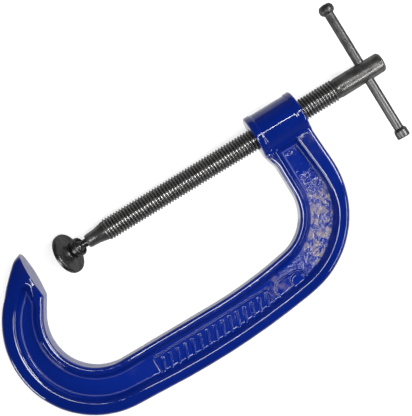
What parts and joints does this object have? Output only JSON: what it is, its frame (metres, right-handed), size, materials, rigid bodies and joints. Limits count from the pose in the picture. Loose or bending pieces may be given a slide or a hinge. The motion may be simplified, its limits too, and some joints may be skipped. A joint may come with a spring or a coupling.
{
  "type": "c clamp",
  "caption": "Cast C-frame screw clamp with a flat anvil, threaded spindle, swivel pad on a ball nose and sliding tommy bar.",
  "frame": {"origin": "centre of the anvil's clamping face, on the screw axis", "axes": "+X along the screw axis from the anvil towards the handle, +Y away from the spine of the frame, +Z square to the plane of the frame"},
  "size_m": [0.2913, 0.1526, 0.0299],
  "materials": {
    "enamel": "glossy deep blue enamel over a sand-cast surface",
    "dark_steel": "oiled black-oxide steel, satin, worn brighter on the thread crests",
    "bar_steel": "drawn steel bar, darkened and lightly polished by use"
  },
  "bodies": {
    "frame": {"frame": "enamel"},
    "carriage": {"ball_stud": "dark_steel"},
    "spindle": {"screw": "dark_steel"},
    "pad": {"swivel_pad": "dark_steel"},
    "handle": {"tommy_bar": "bar_steel", "bar_end_cap": "bar_steel"}
  },
  "joints": [
    {"name": "screw_travel", "type": "slide", "parent": "frame", "child": "carriage", "axis": [1, 0, 0], "range_m": [-0.017, 0.122]},
    {"name": "screw_turn", "type": "hinge", "parent": "carriage", "child": "spindle", "pos_m": [0.04, 0, 0], "axis": [1, 0, 0], "range_deg": [-3060, 21960]},
    {"name": "pad_tilt", "type": "hinge", "parent": "carriage", "child": "pad", "pos_m": [0.0317, 0, 0], "axis": [0, 1, 0], "range_deg": [0, 52]},
    {"name": "bar_slide", "type": "slide", "parent": "spindle", "child": "handle", "axis": [0, 1, 0], "range_m": [-0.0352, 0.0342]}
  ],
  "couplings": [
    {"joint": "screw_travel", "follows": "screw_turn", "m_per_rad": 0.00031831}
  ]
}
